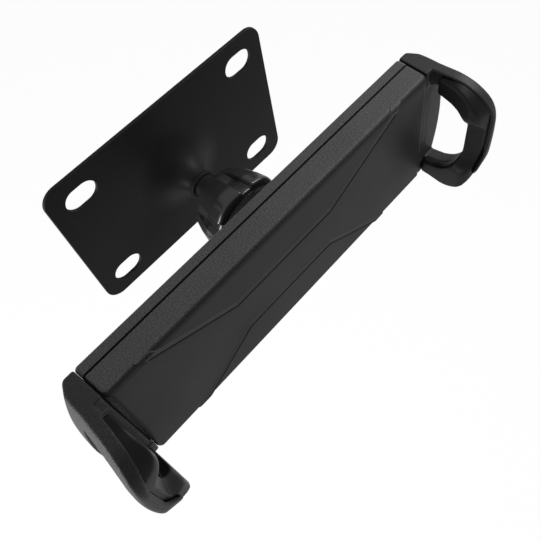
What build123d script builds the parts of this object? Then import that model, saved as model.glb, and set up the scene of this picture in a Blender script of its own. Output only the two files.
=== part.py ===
from build123d import *
import os
from math import atan, atan2, cos, degrees, pi, radians, sin, sqrt, tan

# Wall mount for tablets: a pressed steel plate with a ball stud, and a sprung
# two-claw holder that turns on the ball. Millimetres. The origin is the middle
# of the plate's wall face, +X runs along the holder, +Y points into the wall
# and +Z is up, so everything in front of the wall has a negative Y.

os.makedirs("parts", exist_ok=True)

# Wall plate
plate_width = 100.0
plate_height = 70.0
plate_thickness = 1.2
plate_corner = 6.5
slot_spacing_x = 75.0
slot_spacing_z = 48.5
slot_length = 12.8
slot_width = 9.2
flare_radius = 20.0
flare_height = 12.2
flare_neck_radius = 4.9

# Ball stud, its screw and its washer
ball_radius = 8.5
ball_reach = 27.7
stud_neck_radius = 4.4
stud_ring_radius = 5.8
stud_ring_thickness = 1.5
spigot_length = 5.0
stud_screw_radius = 2.5
stud_screw_length = 14.0
stud_head_radius = 4.4
stud_head_height = 3.0
washer_radius = 6.4
washer_thickness = 1.2
fit_clearance = 0.1

# Nylon seats between the ball and its cup
seat_gap = 0.1
seat_thickness = 0.9
seat_cap_angles = (14.0, 64.0)
seat_ring_angles = (95.0, 122.0)

# Socket cup on the back of the holder
cup_radius = 11.0
cup_tip_radius = 9.9
cup_tip_reach = 5.6
cup_taper_start = 1.0
cup_slit = 1.2
cup_slit_depth = 2.0
boss_radius = 20.0
boss_top_radius = 15.0
boss_top = 38.6
boss_rim = 1.0
boss_dome = 0.9
boss_screw_circle = 16.0
boss_core_radius = 8.0
boss_core_depth = 7.0
boss_screw_depth = 5.0
screw_tip_room = 0.5

# Collar nut
nut_rear = 19.2
nut_front = 36.9
nut_opening_radius = 8.0
nut_rear_radius = 8.9
nut_front_radius = 16.0
nut_rim = 1.2
nut_swell = ((0.19, 0.46), (0.42, 0.72))
nut_rear_wall = 2.2
nut_thread_gap = 0.15
nut_lobes = 5
nut_flute_radius = 3.3
nut_flute_depth = 1.2
nut_flute_lean = 12.0
nut_flute_start = 76.0

# Holder housing
holder_offset = -3.7
housing_length = 151.2
housing_height = 58.0
housing_back = 49.0
housing_seam = 53.45
housing_front = 63.0
housing_wall = 2.0
housing_side_wall = 2.4
housing_corner = 1.6
back_edge_round = 1.0
front_edge_round = 2.6
seam_groove = 0.4
cover_screw_inset = 9.6
cover_screw_edge = 6.1
cover_screw_radius = 1.25
cover_head_radius = 2.4
cover_head_height = 1.4
cover_boss_radius = 2.9
cover_boss_skin = 1.0
cross_depth = 0.7
cross_width = 0.5
post_radius = 1.4
rail_thickness = 1.0
rail_end_room = 2.0
rib_thickness = 1.2
rib_inset = 3.0
rib_end_room = 6.0

# Relief on the front face
relief_upper = ((-68.5, 31.5), (-27.1, 10.0), (19.3, 10.0), (66.0, 31.5))
relief_lower = ((-59.5, -33.0), (-25.1, -9.6), (17.6, -9.6), (54.3, -33.0))
relief_ramp = 2.4
relief_rise = 0.5
relief_root = 2.5

# Sliding arms, racks and pinion
gear_module = 0.8
pinion_teeth = 18
pinion_bore = 2.0
pressure_angle = 20.0
backlash = 0.1
arm_back = 51.3
arm_thickness = 4.0
arm_half_height = 18.5
arm_inside_length = 37.6
rack_end_room = 2.0
rack_start = 8.0
rack_foot = 0.5
tenon = 5.2
slide_gap = 0.3
travel = 30.0

# Springs
spring_radius = 1.7
wire_radius = 0.4
spring_turns = 10
spring_edge = 1.9
spring_rack_gap = 1.3
spring_start = 13.0
spring_loop = 1.5
spring_hook = 2.5
spring_hook_half_height = 1.0

# Claws: base, D-shaped loop and barrelled outer side. The loop's corners are shares of
# the claw's reach from back to front.
claw_gap = 0.3
claw_back = 49.2
claw_front = 86.0
claw_corner_inside = 0.42
claw_corner_outside = 0.53
claw_low_corner_outside = 0.68
claw_depth = 15.0
claw_bulge = 5.4
claw_base_depth = 9.4
claw_bevel_depth = 12.1
claw_bevel_height = 4.2
claw_side_lean = 2.5
claw_nose = 2.8
claw_nose_width = 4.6
claw_seat = 61.8
claw_screw_z = 12.0
claw_screw_inset = 3.4

# Claw liners, finger window and front lip. The liner's start and nose, the window and its
# corner are shares of the loop's reach in front of the base.
grip_start = 0.157
grip_round = 0.6
grip_depth = 3.8
grip_crest = 1.4
grip_lean = 1.0
grip_edge_gap = 0.3
grip_front_depth = 10.4
grip_nose = 0.17
grip_nose_width = 4.8
window_half_height = 20.4
window_depth = 0.63
window_corner = 0.29
recess_half_height = 11.0
recess_depth = 5.3
recess_slope = 57.0
recess_ramp = 3.4
lip_low = 15.5
lip_start = 5.9
lip_thickness = 2.0
lip_dip = 4.5

# Worked out from the driving dimensions
ball_centre = -ball_reach
seat_inner = ball_radius + seat_gap
seat_outer = seat_inner + seat_thickness
cup_inner = seat_outer + seat_gap
pitch_radius = gear_module * pinion_teeth / 2
tooth_pitch = pi * gear_module
addendum = gear_module
dedendum = 1.25 * gear_module
rack_root = pitch_radius + dedendum
spring_z = arm_half_height - spring_edge
rack_outer = spring_z - spring_radius - wire_radius - spring_rack_gap
housing_left = holder_offset - housing_length / 2
housing_right = holder_offset + housing_length / 2
half_height = housing_height / 2
arm_inner_end = housing_length / 2 - arm_inside_length
rack_end = arm_inner_end - rack_end_room
claw_reach = claw_front - claw_back
loop_reach = claw_front - claw_seat
window_front = claw_seat + window_depth * loop_reach


def block(x_range, y_range, z_range):
    """A box between two corners."""
    sizes = [high - low for low, high in (x_range, y_range, z_range)]
    centre = [(high + low) / 2 for low, high in (x_range, y_range, z_range)]
    return Pos(*centre) * Box(*sizes)


def rod(radius, y_low, y_high, x=0.0, z=0.0):
    """A cylinder along Y."""
    return Pos(x, (y_low + y_high) / 2, z) * Rot(90, 0, 0) * Cylinder(radius, y_high - y_low)


def turned(*edges):
    """A solid of revolution about the ball's axis, from a closed profile of radius and Y."""
    return revolve(make_face(Wire(edges)), Axis.Y, 360)


def polyline_edges(*points):
    """Straight edges through the points."""
    return [Line(a, b) for a, b in zip(points, points[1:])]


def wall_face(y):
    """A sketch plane parallel to the wall: X stays X and Y becomes Z."""
    return Plane.XZ.offset(-y)


def save(name, shape):
    """Write one node."""
    export_step(shape, f"parts/{name}.step")


# Wall side

def make_wall_plate():
    """Pressed sheet: four slots and a drawn trumpet that carries the stud."""
    outline = RectangleRounded(plate_width, plate_height, plate_corner)
    slots = [
        Pos(x * slot_spacing_x / 2, z * slot_spacing_z / 2) * SlotOverall(slot_length, slot_width)
        for x in (-1, 1)
        for z in (-1, 1)
    ]
    sheet = extrude(wall_face(0) * (outline - slots - Circle(flare_radius)), plate_thickness)
    front_face = sheet.faces().sort_by(Axis.Y)[0]
    sheet = fillet(front_face.outer_wire().edges(), plate_thickness / 3)
    centre = (flare_radius, -flare_height)
    across = flare_radius - flare_neck_radius
    along = flare_height - plate_thickness
    outer = EllipticalCenterArc(centre, across, along, start_angle=90, arc_size=90)
    inner = EllipticalCenterArc(centre, across + plate_thickness, along + plate_thickness, start_angle=90, arc_size=90)
    lip = Line(outer @ 1, inner @ 1)
    foot = Line(inner @ 0, outer @ 0)
    return sheet + turned(outer, lip, inner, foot)


def make_ball_stud():
    """Turned steel: ball, neck, shoulder ring and a tapped spigot in the plate's neck."""
    ring_front = -flare_height - stud_ring_thickness
    spigot_radius = flare_neck_radius - plate_thickness - fit_clearance
    ring = rod(stud_ring_radius, ring_front, -flare_height)
    ring = fillet(ring.edges().filter_by(GeomType.CIRCLE), stud_ring_thickness / 4)
    stud = Pos(0, ball_centre, 0) * Sphere(ball_radius)
    stud += rod(stud_neck_radius, ball_centre, ring_front)
    stud += ring
    stud += rod(spigot_radius, -flare_height, -flare_height + spigot_length)
    tapped = stud_screw_length + washer_thickness
    bore_end = washer_seat() - tapped
    return stud - rod(stud_screw_radius + fit_clearance / 2, bore_end, 0)


def washer_seat():
    """Where the washer's rim meets the inside of the trumpet."""
    across = flare_radius - flare_neck_radius + plate_thickness
    along = flare_height
    reach = (flare_radius - washer_radius - fit_clearance) / across
    return -flare_height + along * sqrt(1 - reach ** 2)


def make_stud_washer():
    """Flat washer that bears on the inside of the trumpet."""
    seat = washer_seat()
    return rod(washer_radius, seat, seat + washer_thickness) - rod(stud_screw_radius + fit_clearance, seat, seat + washer_thickness)


def make_stud_screw():
    """Button-head screw from the wall side, with a hexagon socket."""
    under_head = washer_seat() + washer_thickness
    shank = rod(stud_screw_radius, under_head - stud_screw_length, under_head)
    head = rod(stud_head_radius, under_head, under_head + stud_head_height)
    head = fillet(head.edges().filter_by(GeomType.CIRCLE).sort_by(Axis.Y)[-1], stud_head_height / 3)
    key = extrude(wall_face(under_head + stud_head_height) * RegularPolygon(stud_screw_radius * 0.7, 6), stud_head_height * 0.6)
    return shank + head - key


def seat_zone(angles):
    """A ring of the nylon seat, between two angles from the ball's front."""
    start, end = angles
    outer = CenterArc((0, ball_centre), seat_outer, start - 90, end - start)
    inner = CenterArc((0, ball_centre), seat_inner, start - 90, end - start)
    return turned(outer, Line(outer @ 1, inner @ 1), inner, Line(inner @ 0, outer @ 0))


def make_socket_cup():
    """Moulded boss with a slit cup round the ball."""
    taper = ball_centre + cup_taper_start
    tip = ball_centre + cup_tip_reach
    shoulder = (boss_radius, -housing_back + boss_rim)
    halfway = ((boss_radius + boss_top_radius) / 2 + boss_dome, -(housing_back - boss_rim + boss_top) / 2)
    dome = ThreePointArc(shoulder, halfway, (boss_top_radius, -boss_top))
    profile = polyline_edges((0, tip), (0, -housing_back), (boss_radius, -housing_back), shoulder)
    profile += [dome]
    profile += polyline_edges(
        (boss_top_radius, -boss_top),
        (cup_radius, -boss_top),
        (cup_radius, taper),
        (cup_tip_radius, tip),
        (0, tip),
    )
    cup = turned(*profile) - Pos(0, ball_centre, 0) * Sphere(cup_inner)
    slit_y = (ball_centre - cup_slit_depth, tip + 1)
    reach = (-cup_radius - 1, cup_radius + 1)
    width = (-cup_slit / 2, cup_slit / 2)
    cup -= block(reach, slit_y, width)
    cup -= block(width, slit_y, reach)
    cup -= rod(boss_core_radius, -housing_back, -housing_back + boss_core_depth)
    for x, z in boss_screw_places():
        cup -= rod(cover_screw_radius, -housing_back, -housing_back + boss_screw_depth + screw_tip_room, x, z)
    return cup


def boss_screw_places():
    """Four screws on a circle about the ball's axis."""
    return [(boss_screw_circle * cos(radians(a)), boss_screw_circle * sin(radians(a))) for a in (0, 90, 180, 270)]


def make_collar_nut():
    """Grip nut: a domed ring with broad lobes that closes the slit cup on the ball."""
    taper = ball_centre + cup_taper_start
    tip = ball_centre + cup_tip_reach
    bore = cup_radius + nut_thread_gap
    wall_end = -nut_rear - nut_rear_wall
    rear = (nut_rear_radius, -nut_rear)
    front = (nut_front_radius, -nut_front + nut_rim)
    gain = nut_front_radius - nut_rear_radius
    length = nut_front - nut_rear
    swell = Spline(rear, *[(nut_rear_radius + gain * out, -nut_rear - length * along) for along, out in nut_swell], front)
    profile = [swell]
    profile += polyline_edges(
        front,
        (nut_front_radius, -nut_front),
        (bore, -nut_front),
        (bore, taper),
        (cup_tip_radius + nut_thread_gap, tip),
        (cup_tip_radius + nut_thread_gap, wall_end),
        (nut_opening_radius, wall_end),
        (nut_opening_radius, -nut_rear),
        rear,
    )
    nut = turned(*profile)
    cutter_middle = -(nut_rear + nut_front) / 2
    mean_radius = nut_front_radius - (nut_front + cutter_middle) * tan(radians(nut_flute_lean))
    distance = mean_radius - nut_flute_depth + nut_flute_radius
    cutter = Pos(distance, cutter_middle, 0) * Rot(0, 0, nut_flute_lean) * Rot(90, 0, 0)
    cutter = cutter * Cylinder(nut_flute_radius, 3 * nut_rear)
    for index in range(nut_lobes):
        nut -= Rot(0, -nut_flute_start - index * 360 / nut_lobes, 0) * cutter
    return nut


# Housing

def cover_screw_places():
    """Six screws along the two long edges of the housing."""
    x_reach = housing_length / 2 - cover_screw_inset
    z_reach = half_height - cover_screw_edge
    return [(holder_offset + x * x_reach, z * z_reach) for x in (-1, 0, 1) for z in (-1, 1)]


def housing_shell(y_low, y_high):
    """The outer block of one cover, with its four corners rounded."""
    solid = block((housing_left, housing_right), (y_low, y_high), (-half_height, half_height))
    return fillet(solid.edges().filter_by(Axis.Y), housing_corner)


def arm_window():
    """The opening in both covers that the arms slide through."""
    gap = slide_gap
    return block(
        (housing_left - 1, housing_right + 1),
        (-arm_back - arm_thickness - gap, -arm_back + gap),
        (-arm_half_height - gap, arm_half_height + gap),
    )


def make_rear_cover():
    """Back tray: guide rails for the arms, screw bosses, spring posts and the pinion's pin."""
    cover = housing_shell(-housing_seam, -housing_back)
    back_face = cover.faces().sort_by(Axis.Y)[-1]
    cover = fillet(back_face.edges(), back_edge_round)
    inner_x = (housing_left + housing_wall, housing_right - housing_wall)
    inner_z = half_height - housing_side_wall
    floor = -housing_back - housing_wall
    cover -= block(inner_x, (-housing_seam - 1, floor), (-inner_z, inner_z))
    cover -= arm_window()
    rail_length = housing_length / 2 - arm_inner_end - rail_end_room
    for x in (-1, 1):
        start = holder_offset + x * (housing_length / 2 - housing_wall)
        end = holder_offset + x * (housing_length / 2 - rail_length)
        for z in (-1, 1):
            rail_z = sorted((z * (arm_half_height + slide_gap), z * (arm_half_height + slide_gap + rail_thickness)))
            cover += block(sorted((start, end)), (-housing_seam, floor), rail_z)
    for x, z in cover_screw_places():
        cover += rod(cover_boss_radius, -housing_seam, floor, x, z)
    for side in (-1, 1):
        x = holder_offset + side * (spring_start - spring_loop)
        cover += rod(post_radius, -arm_back - arm_thickness, floor, x, side * spring_z)
    cover += rod(pinion_bore - fit_clearance / 2, -arm_back - arm_thickness - fit_clearance, floor, holder_offset)
    for x, z in cover_screw_places():
        cover -= rod(cover_screw_radius + fit_clearance, -housing_seam, -housing_back, x, z)
        cover -= rod(cover_head_radius + fit_clearance, -housing_back - cover_head_height, -housing_back, x, z)
    for x, z in boss_screw_places():
        cover -= rod(cover_screw_radius + fit_clearance, floor, -housing_back, x, z)
    groove = housing_shell(-housing_seam, -housing_seam + seam_groove)
    groove -= block(
        (housing_left + seam_groove, housing_right - seam_groove),
        (-housing_seam - 1, -housing_seam + 1),
        (-half_height + seam_groove, half_height - seam_groove),
    )
    return cover - groove


def relief_ridge(path):
    """One line of the relief: a ramp that rises towards the line, then a step."""
    root = -housing_front + relief_root
    sections = []
    for x, z in path:
        outline = Polyline(
            (root, z),
            (-housing_front - relief_rise, z),
            (-housing_front, z + relief_ramp),
            (root, z + relief_ramp),
            close=True,
        )
        sections.append(side_plane(holder_offset + x) * make_face(outline))
    ridges = [loft([start, end], ruled=True) for start, end in zip(sections, sections[1:])]
    return ridges[0] + ridges[1:]


def make_front_cover():
    """Front tray: smooth face with the relief, and ribs that hold the arms back."""
    cover = housing_shell(-housing_front, -housing_seam)
    front_face = cover.faces().sort_by(Axis.Y)[0]
    cover = fillet(front_face.edges().filter_by(Axis.X), front_edge_round)
    raised = housing_shell(-housing_front - relief_rise, -housing_seam)
    raised_face = raised.faces().sort_by(Axis.Y)[0]
    raised = fillet(raised_face.edges().filter_by(Axis.X), front_edge_round)
    cover += raised & (relief_ridge(relief_upper) + relief_ridge(relief_lower))
    inner_x = (housing_left + housing_wall, housing_right - housing_wall)
    inner_z = half_height - housing_side_wall
    floor = -housing_front + housing_wall
    cover -= block(inner_x, (floor, -housing_seam + 1), (-inner_z, inner_z))
    cover -= arm_window()
    rib_length = housing_length / 2 - arm_inner_end - rib_end_room
    for x in (-1, 1):
        start = holder_offset + x * (housing_length / 2 - housing_wall)
        end = holder_offset + x * (housing_length / 2 - rib_length)
        for z in (-1, 1):
            rib_z = sorted((z * (arm_half_height - rib_inset), z * (arm_half_height - rib_inset - rib_thickness)))
            cover += block(sorted((start, end)), (floor, -arm_back - arm_thickness - slide_gap), rib_z)
    for x, z in cover_screw_places():
        cover += rod(cover_boss_radius, floor, -housing_seam, x, z)
        cover -= rod(cover_screw_radius, floor + cover_boss_skin, -housing_seam, x, z)
    return cover


def screw(x, z, head_y, length):
    """A pan-head screw along -Y with a cross recess."""
    head = rod(cover_head_radius, head_y - cover_head_height, head_y, x, z)
    head = fillet(head.edges().filter_by(GeomType.CIRCLE).sort_by(Axis.Y)[-1], cover_head_height / 3)
    shank = rod(cover_screw_radius, head_y - cover_head_height - length, head_y - cover_head_height, x, z)
    reach = cover_head_radius / 2
    half = cross_width / 2
    depth = (head_y - cross_depth, head_y + cross_depth)
    cross = block((x - reach, x + reach), depth, (z - half, z + half))
    cross += block((x - half, x + half), depth, (z - reach, z + reach))
    return head + shank - cross


# Mechanism

def make_pinion():
    """Spur gear that ties the two racks together."""
    base = pitch_radius * cos(radians(pressure_angle))
    tip = pitch_radius + addendum
    root = pitch_radius - dedendum
    involute_roll = tan(radians(pressure_angle)) - radians(pressure_angle)
    half_tooth = (tooth_pitch / 2 - backlash) / 2 / pitch_radius + involute_roll

    def flank(side):
        points = []
        for step in range(6):
            radius = max(base, root) + (tip - max(base, root)) * step / 5
            pressure = sqrt(max(0.0, (radius / base) ** 2 - 1))
            angle = half_tooth - (pressure - atan(pressure))
            points.append((radius * sin(side * angle), radius * cos(angle)))
        return points

    left, right = flank(-1), flank(1)
    root_half = atan2(right[0][0], right[0][1])
    root_left = (root * sin(-root_half), root * cos(root_half))
    root_right = (root * sin(root_half), root * cos(root_half))
    core = sqrt(root_right[0] ** 2 + root_right[1] ** 2) * 0.8
    edges = [Line((-core * sin(root_half), core * cos(root_half)), root_left), Line(root_left, left[0]), Spline(*left)]
    edges += [Line(left[-1], right[-1]), Spline(*reversed(right)), Line(right[0], root_right)]
    edges += [Line(root_right, (core * sin(root_half), core * cos(root_half)))]
    edges += [Line((core * sin(root_half), core * cos(root_half)), (-core * sin(root_half), core * cos(root_half)))]
    tooth = make_face(Wire(edges))
    gear = Circle(root)
    for index in range(pinion_teeth):
        gear += Rot(0, 0, index * 360 / pinion_teeth) * tooth
    gear -= Circle(pinion_bore)
    return Pos(holder_offset, 0, 0) * extrude(wall_face(-arm_back) * gear, arm_thickness)


def make_left_arm():
    """Flat slide with a tenon for the claw, a rack above the pinion and a spring hook."""
    y_range = (-arm_back - arm_thickness, -arm_back)
    outer_end = housing_left - claw_gap - tenon
    base = block((outer_end, holder_offset - arm_inner_end), y_range, (-arm_half_height, arm_half_height))
    tongue = block((holder_offset - arm_inner_end, holder_offset + rack_end), y_range, (rack_root, rack_outer))
    arm = base + tongue
    half_width = (tooth_pitch / 2 - backlash) / 2
    spread = tan(radians(pressure_angle))
    tip_half = half_width - addendum * spread
    root_half = half_width + dedendum * spread
    tip_z = pitch_radius - addendum
    first = -int(rack_start / tooth_pitch)
    last = int((rack_end - tooth_pitch) / tooth_pitch)
    for index in range(first, last + 1):
        x = holder_offset + (index + 0.5) * tooth_pitch
        section = Polyline(
            (x - root_half, rack_root + rack_foot),
            (x - root_half, rack_root),
            (x - tip_half, tip_z),
            (x + tip_half, tip_z),
            (x + root_half, rack_root),
            (x + root_half, rack_root + rack_foot),
            close=True,
        )
        arm += extrude(wall_face(-arm_back) * make_face(section), arm_thickness)
    hook = block(
        (holder_offset - arm_inner_end, holder_offset - arm_inner_end + spring_hook),
        y_range,
        (-spring_z - spring_hook_half_height, -spring_z + spring_hook_half_height),
    )
    arm += hook
    for z in (-claw_screw_z, claw_screw_z):
        arm -= rod(cover_screw_radius, y_range[0] - 1, y_range[1] + 1, claw_screw_x(-1), z)
    return arm


def claw_screw_x(side):
    """X of the screws that hold a claw to its arm."""
    return holder_offset + side * (housing_length / 2 + claw_gap + claw_screw_inset)


def make_spring(side):
    """Close-wound extension spring between a housing post and its arm's hook."""
    start = spring_start
    end = arm_inner_end - spring_hook
    pitch = (end - start) / spring_turns
    helix = Helix(pitch, end - start, spring_radius)
    profile = Plane(origin=helix @ 0, z_dir=helix % 0) * Circle(wire_radius)
    coil = sweep(profile, helix)
    y = -arm_back - arm_thickness / 2
    placed = Pos(holder_offset - start, y, -spring_z) * Rot(0, -90, 0) * coil
    if side > 0:
        placed = Pos(holder_offset + start, y, spring_z) * Rot(0, 90, 0) * coil
    return placed


# Claws, drawn for the right end of the housing

def from_end(points):
    """Points given as distance out from the housing's end and distance from the wall."""
    return [(housing_right + out, -reach) for out, reach in points]


def upright(profile_edges):
    """A profile in X and Y carried through the claw's whole height."""
    face = make_face(Wire(profile_edges))
    return Pos(0, 0, -half_height - 1) * extrude(face, housing_height + 2, dir=(0, 0, 1))


def corner_radius(out, outside):
    """Radius of a corner of the D, which grows from the claw's inside to its outside."""
    return claw_reach * (claw_corner_inside + (outside - claw_corner_inside) * out / claw_depth)


def loop_outline(out, inset=0.0):
    """The claw's D-shaped outline at a distance out from the housing's end, as a face."""
    front = -claw_front + inset
    top = half_height - inset
    upper = corner_radius(out, claw_corner_outside) - inset
    lower = corner_radius(out, claw_low_corner_outside) - inset
    back = -claw_back
    edges = [
        Line((back, -top), (back, top)),
        Line((back, top), (front + upper, top)),
        CenterArc((front + upper, top - upper), upper, 90, 90),
        Line((front, top - upper), (front, -top + lower)),
        CenterArc((front + lower, -top + lower), lower, 180, 90),
        Line((front + lower, -top), (back, -top)),
    ]
    return side_plane(housing_right + out) * make_face(Wire(edges))


def side_plane(x):
    """A sketch plane facing +X: X becomes Y and Y becomes Z."""
    return Plane.YZ.offset(x)


def window_cutter():
    """The finger window through the claw, as a face seen along X."""
    back = -claw_seat
    front = -window_front
    top = window_half_height
    corner = window_corner * loop_reach
    edges = [
        Line((back, -top), (back, top)),
        Line((back, top), (front + corner, top)),
        CenterArc((front + corner, top - corner), corner, 90, 90),
        Line((front, top - corner), (front, -top + corner)),
        CenterArc((front + corner, -top + corner), corner, 180, 90),
        Line((front + corner, -top), (back, -top)),
    ]
    return make_face(Wire(edges))


def seat_curve():
    """The face between the claw's shell and its pad, from the base to the front."""
    lean = grip_front_depth - grip_depth
    shape = ((0.30, 0.0), (0.50, 0.16), (0.67, 0.37), (0.81, 0.60), (0.93, 0.83), (1.0, 1.0))
    return Spline(*from_end([(grip_depth + lean * out, claw_seat + loop_reach * along) for along, out in shape]))


def claw_bounds():
    """The outer limits of a claw: its D outline and its barrelled outer side."""
    outline = loft([loop_outline(0), loop_outline(claw_depth + claw_bulge)], ruled=True)
    radius = (half_height ** 2 + claw_bulge ** 2) / (2 * claw_bulge)
    axis_x = housing_right + claw_depth - radius
    bevel_end = (claw_bevel_depth, claw_back + claw_bevel_height)
    nose_start = (claw_depth, claw_front - claw_nose)
    side = from_end([
        bevel_end,
        (claw_depth - claw_side_lean, claw_seat),
        (claw_depth - claw_side_lean / 4, (claw_seat + claw_front) / 2),
        nose_start,
    ])
    nose = from_end([
        nose_start,
        (claw_depth - claw_nose_width * 0.3, claw_front - claw_nose * 0.3),
        (claw_depth - claw_nose_width, claw_front),
    ])
    edges = polyline_edges((axis_x, -claw_back), *from_end([(claw_base_depth, claw_back), bevel_end]))
    edges += [Spline(*side), ThreePointArc(*nose)]
    edges += polyline_edges(nose[-1], (axis_x, -claw_front), (axis_x, -claw_back))
    axis = Axis((axis_x, 0, 0), (0, 1, 0))
    barrel = revolve(make_face(Wire(edges)), axis, 60).rotate(axis, -30)
    return outline & barrel


def make_right_claw():
    """Hard shell of the claw: base round the arm's tenon, loop and front lip."""
    curve = seat_curve()
    outside = housing_right + claw_depth + claw_bulge
    edges = polyline_edges(*from_end([(claw_gap, claw_back)]), (outside, -claw_back), (outside, -claw_front), curve @ 1)
    edges += [curve]
    edges += polyline_edges(
        curve @ 0,
        *from_end([(grip_depth, claw_seat), (claw_gap, claw_seat), (claw_gap, claw_back)]),
    )
    claw = (upright(edges) + make_claw_lip()) & claw_bounds()
    claw -= extrude(side_plane(housing_right) * window_cutter(), claw_depth + claw_bulge)
    gap = fit_clearance
    claw -= block(
        (housing_right, housing_right + claw_gap + tenon + gap),
        (-arm_back - arm_thickness - gap, -arm_back + gap),
        (-arm_half_height - gap, arm_half_height + gap),
    )
    x = claw_screw_x(1)
    for z in (-claw_screw_z, claw_screw_z):
        claw -= rod(cover_screw_radius + fit_clearance, -arm_back - arm_thickness - 2, -claw_back + 1, x, z)
        claw -= rod(cover_head_radius + fit_clearance, -claw_back - cover_head_height, -claw_back + 1, x, z)
    return claw


def make_claw_lip():
    """The shell's lower front lip, which stands in front of the pad and dips to the middle."""
    inner = claw_front - lip_thickness
    start = housing_right + lip_start
    lip = block((start, housing_right + claw_depth - claw_nose_width), (-claw_front, -inner), (-lip_low, 0))
    dip_radius = (lip_low ** 2 + lip_dip ** 2) / (2 * lip_dip)
    return lip - rod(dip_radius, -claw_front - 1, -inner + 1, start + lip_dip - dip_radius)


def inward_plane(x):
    """A sketch plane that faces back towards the holder."""
    return Plane(origin=(x, 0, 0), x_dir=(0, 1, 0), z_dir=(-1, 0, 0))


def pad_profile(start):
    """Outline of the liner in X and Y: flat inside, with a nose at the front."""
    front = claw_front - lip_thickness - fit_clearance
    nose_start = front - grip_nose * loop_reach
    inner = from_end([
        (grip_crest + grip_round, start),
        (grip_crest, start + grip_round),
        (grip_crest, nose_start),
    ])
    outer_limit = grip_front_depth + 1
    nose = from_end([
        (grip_crest + 0.2 * grip_nose_width, front - 0.5 * (front - nose_start)),
        (grip_crest + 0.6 * grip_nose_width, front - 0.2 * (front - nose_start)),
        (grip_crest + grip_nose_width, front - 0.03 * (front - nose_start)),
        (outer_limit, front),
    ])
    edges = polyline_edges(*inner) + [Spline(inner[-1], *nose)]
    return edges + polyline_edges(nose[-1], *from_end([(outer_limit, start)]), inner[0])


def make_right_pad():
    """Rubber liner of the claw: a D-shaped ring, flat inside, with a hollowed front bar."""
    curve = seat_curve()
    past = 1.0
    shell_side = polyline_edges(
        *from_end([(-past, claw_seat), (-past, claw_front + past), (grip_front_depth, claw_front + past)]),
        curve @ 1,
    )
    shell_side += [curve]
    shell_side += polyline_edges(curve @ 0, *from_end([(grip_depth, claw_seat), (-past, claw_seat)]))
    lower_half = block(
        (housing_right, housing_right + claw_depth),
        (-claw_front, -claw_seat),
        (-half_height - past, 0),
    )
    pad = upright(pad_profile(claw_seat + grip_start * loop_reach)) + (upright(pad_profile(claw_seat + slide_gap)) & lower_half)
    pad = pad & upright(shell_side)
    straight = [loop_outline(grip_depth, grip_edge_gap), loop_outline(claw_depth, grip_edge_gap)]
    leaning = [loop_outline(0, grip_edge_gap + grip_lean), loop_outline(grip_depth, grip_edge_gap)]
    pad = pad & (loft(straight, ruled=True) + loft(leaning, ruled=True))
    pad -= extrude(side_plane(housing_right - past) * window_cutter(), claw_depth + claw_bulge)
    hollow = Pos(-claw_front, 0) * Rectangle(2 * corner_radius(0, 0), 2 * recess_half_height)
    pad -= extrude(inward_plane(housing_right + recess_depth) * hollow, recess_depth + past, taper=-recess_slope)
    ramp = from_end([
        (recess_depth - past, window_front),
        (recess_depth, window_front),
        (recess_depth + recess_ramp, claw_front - lip_thickness + past),
        (recess_depth - past, claw_front - lip_thickness + past),
    ])
    return pad - extrude(make_face(Polyline(*ramp, close=True)), recess_half_height, both=True)


def make_claw_screws(side):
    """Two screws that hold a claw to its arm."""
    x = claw_screw_x(side)
    length = arm_back + arm_thickness - claw_back - cover_head_height
    screws = [screw(x, z, -claw_back, length) for z in (-claw_screw_z, claw_screw_z)]
    return Compound(children=screws)


def make_cover_screws():
    """Six screws that close the housing from its back."""
    length = housing_front - housing_wall - cover_boss_skin - screw_tip_room - housing_back - cover_head_height
    return Compound(children=[screw(x, z, -housing_back, length) for x, z in cover_screw_places()])


def make_socket_screws():
    """Four screws that hold the boss from inside the rear cover."""
    floor = -housing_back - housing_wall
    length = boss_screw_depth + housing_wall
    turned_screws = []
    for x, z in boss_screw_places():
        turned_screws.append(Pos(x, floor - cover_head_height, z) * Rot(180, 0, 0) * screw(0, 0, 0, length))
    return Compound(children=turned_screws)


def other_side(shape):
    """The same piece at the other end of the holder, turned half a turn about the pinion."""
    return Pos(holder_offset, 0, 0) * Rot(0, 180, 0) * Pos(-holder_offset, 0, 0) * shape


def mirrored(shape):
    """The same piece for the other end of the holder, as a mirror image."""
    return mirror(shape, about=Plane.YZ.offset(holder_offset))


left_arm = make_left_arm()
right_claw = make_right_claw()
right_pad = make_right_pad()

save("wall_plate", make_wall_plate())
save("ball_stud", make_ball_stud())
save("stud_washer", make_stud_washer())
save("stud_screw", make_stud_screw())
save("seat_cap", seat_zone(seat_cap_angles))
save("seat_ring", seat_zone(seat_ring_angles))
save("socket_cup", make_socket_cup())
save("socket_screws", make_socket_screws())
save("collar_nut", make_collar_nut())
save("rear_cover", make_rear_cover())
save("front_cover", make_front_cover())
save("cover_screws", make_cover_screws())
save("pinion", make_pinion())
save("left_arm", left_arm)
save("right_arm", other_side(left_arm))
save("left_spring", make_spring(-1))
save("right_spring", make_spring(1))
save("right_claw", right_claw)
save("left_claw", mirrored(right_claw))
save("right_pad", right_pad)
save("left_pad", mirrored(right_pad))
save("right_claw_screws", make_claw_screws(1))
save("left_claw_screws", make_claw_screws(-1))
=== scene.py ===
import bpy
import numpy as np
from mathutils import Matrix, Vector


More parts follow.
